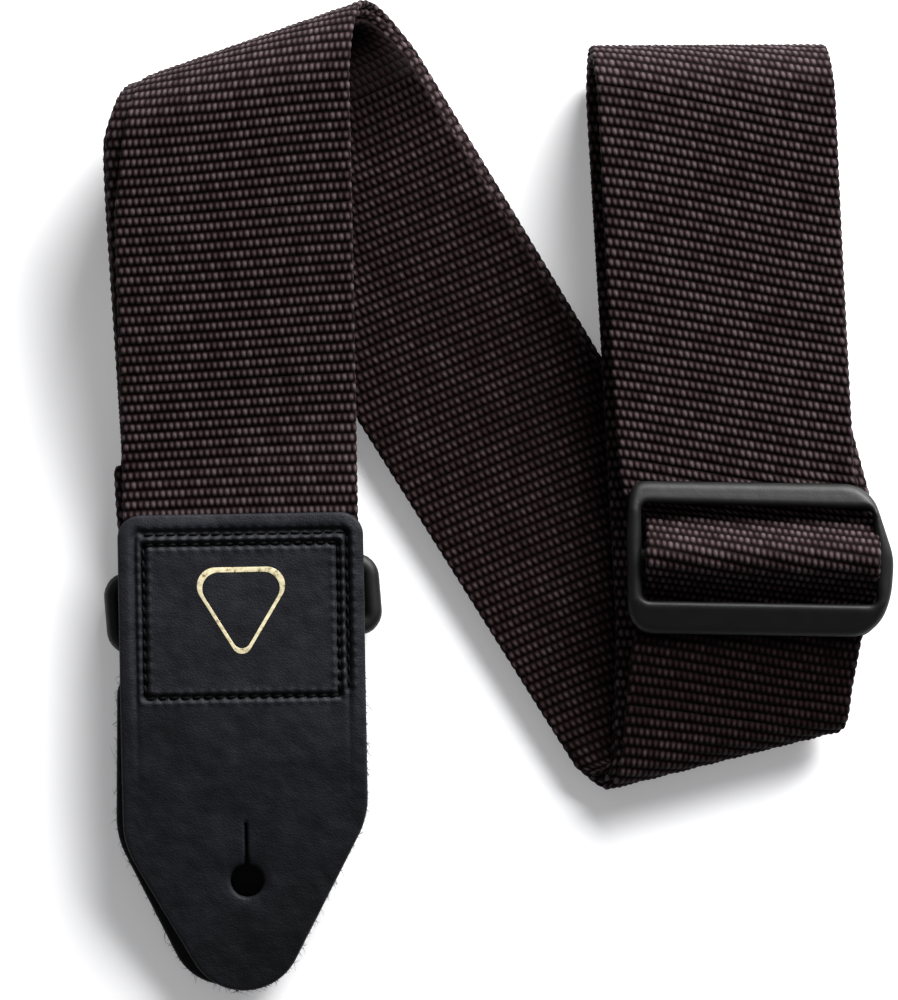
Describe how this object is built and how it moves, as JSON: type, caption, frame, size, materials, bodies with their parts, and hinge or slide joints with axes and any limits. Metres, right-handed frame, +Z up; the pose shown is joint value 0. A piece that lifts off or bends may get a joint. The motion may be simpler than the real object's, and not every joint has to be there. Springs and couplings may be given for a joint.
{
  "type": "guitar strap",
  "caption": "Adjustable woven webbing guitar strap, folded in a zigzag, with pointed leather ends, a rectangular ring and a three-bar slider.",
  "frame": {"origin": "on the surface the folded strap lies on, under the middle of its outline", "axes": "+Z up from that surface; +Y along the right leg, from the bottom fold towards the top folds; +X from the leg with the leather ends to the leg with the slider"},
  "size_m": [0.1721, 0.2122, 0.0242],
  "materials": {
    "webbing": "ribbed woven",
    "leather": "matte split leather",
    "thread": "twisted thread",
    "foil": "pressed gold foil",
    "moulded_plastic": "satin moulded"
  },
  "bodies": {
    "diagonal_leg": {"diagonal_back_run": "webbing", "diagonal_middle_run": "webbing", "diagonal_front_run": "webbing", "left_fold_outer": "webbing", "left_fold_middle": "webbing", "left_fold_inner": "webbing", "bottom_fold_outer": "webbing", "bottom_fold_middle": "webbing", "bottom_fold_inner": "webbing"},
    "left_leg": {"left_front_run": "webbing", "front_flex_run": "webbing", "left_sewn_run": "webbing", "left_back_run": "webbing", "ring_turn": "webbing"},
    "front_end": {"front_leather_end": "leather", "front_box_stitching": "thread", "foil_mark": "foil", "front_webbing_end": "webbing"},
    "ring": {"ring": "moulded_plastic"},
    "rear_end": {"rear_leather_end": "leather", "rear_loop_under_run": "webbing", "rear_loop_turn": "webbing", "rear_loop_over_run": "webbing", "rear_box_stitching": "thread"},
    "right_leg": {"right_back_inner_run": "webbing", "right_back_outer_run": "webbing", "right_lower_run": "webbing", "top_fold_outer": "webbing", "top_fold_inner": "webbing", "right_upper_run": "webbing", "right_sewn_run": "webbing"},
    "slider": {"slider_buckle": "moulded_plastic", "slider_webbing_hump": "webbing", "sewn_end_loop": "webbing", "bar_tack": "thread"}
  },
  "joints": [
    {"name": "left_fold_open", "type": "hinge", "parent": "diagonal_leg", "child": "left_leg", "pos_m": [-0.05196, 0.08653, 0.0121], "axis": [-0.9711, -0.2385, 0], "range_deg": [0, 90], "deforming": ["left_fold_outer", "left_fold_middle", "left_fold_inner"]},
    {"name": "bottom_fold_open", "type": "hinge", "parent": "diagonal_leg", "child": "right_leg", "pos_m": [0.04075, -0.0555, 0.0051], "axis": [0.9707, 0.2402, 0], "range_deg": [0, 90], "deforming": ["bottom_fold_outer", "bottom_fold_middle", "bottom_fold_inner"]},
    {"name": "front_end_lift", "type": "hinge", "parent": "left_leg", "child": "front_end", "pos_m": [-0.05524, 0.00134, 0.0096], "axis": [-0.9993, 0.0384, 0], "range_deg": [0, 60], "deforming": ["front_flex_run"]},
    {"name": "ring_swivel", "type": "hinge", "parent": "left_leg", "child": "ring", "pos_m": [-0.05632, -0.01519, 0.004], "axis": [0.9996, 0.0279, 0], "range_deg": [0, 80]},
    {"name": "rear_end_swing", "type": "hinge", "parent": "ring", "child": "rear_end", "pos_m": [-0.05594, -0.02879, 0.004], "axis": [0.9996, 0.0279, 0], "range_deg": [0, 60]},
    {"name": "slider_slide", "type": "slide", "parent": "right_leg", "child": "slider", "axis": [0, 1, 0], "range_m": [-0.004, 0.045], "deforming": ["right_lower_run", "right_upper_run", "right_sewn_run"]}
  ]
}
